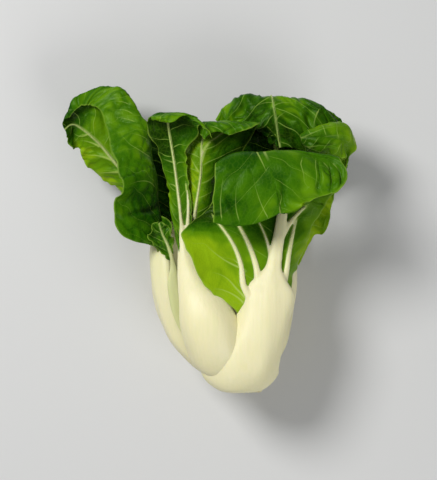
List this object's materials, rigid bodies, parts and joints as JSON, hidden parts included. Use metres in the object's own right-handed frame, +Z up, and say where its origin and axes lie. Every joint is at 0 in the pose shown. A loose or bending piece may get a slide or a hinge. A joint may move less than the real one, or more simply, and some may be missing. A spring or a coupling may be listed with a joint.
{
  "type": "bok choy",
  "caption": "Whole white-stemmed bok choy lying on its back: thick ivory stalks clasped round a cut stem, fanning into dark green blades that fold over at the tips",
  "frame": {"origin": "middle of the bounding box in X and Y, on the surface the head lies on", "axes": "+Z up; the head lies on its back with the cut stem toward -Y and the leaf tips toward +Y; seen from above, +X is to the right"},
  "size_m": [0.176, 0.183, 0.0946],
  "materials": {
    "core": null,
    "stalk": null,
    "blade": null
  },
  "bodies": {
    "root": {"stem_core": "core", "front_right_stalk": "stalk", "front_left_stalk": "stalk", "left_stalk": "stalk", "centre_stalk": "stalk", "right_stalk": "stalk", "back_right_stalk": "stalk", "back_left_stalk": "stalk", "small_stalk": "stalk", "front_right_blade": "blade", "front_left_blade": "blade", "left_blade": "blade", "centre_blade": "blade", "right_blade": "blade", "back_right_blade": "blade", "back_left_blade": "blade", "small_blade": "blade"}
  },
  "joints": []
}
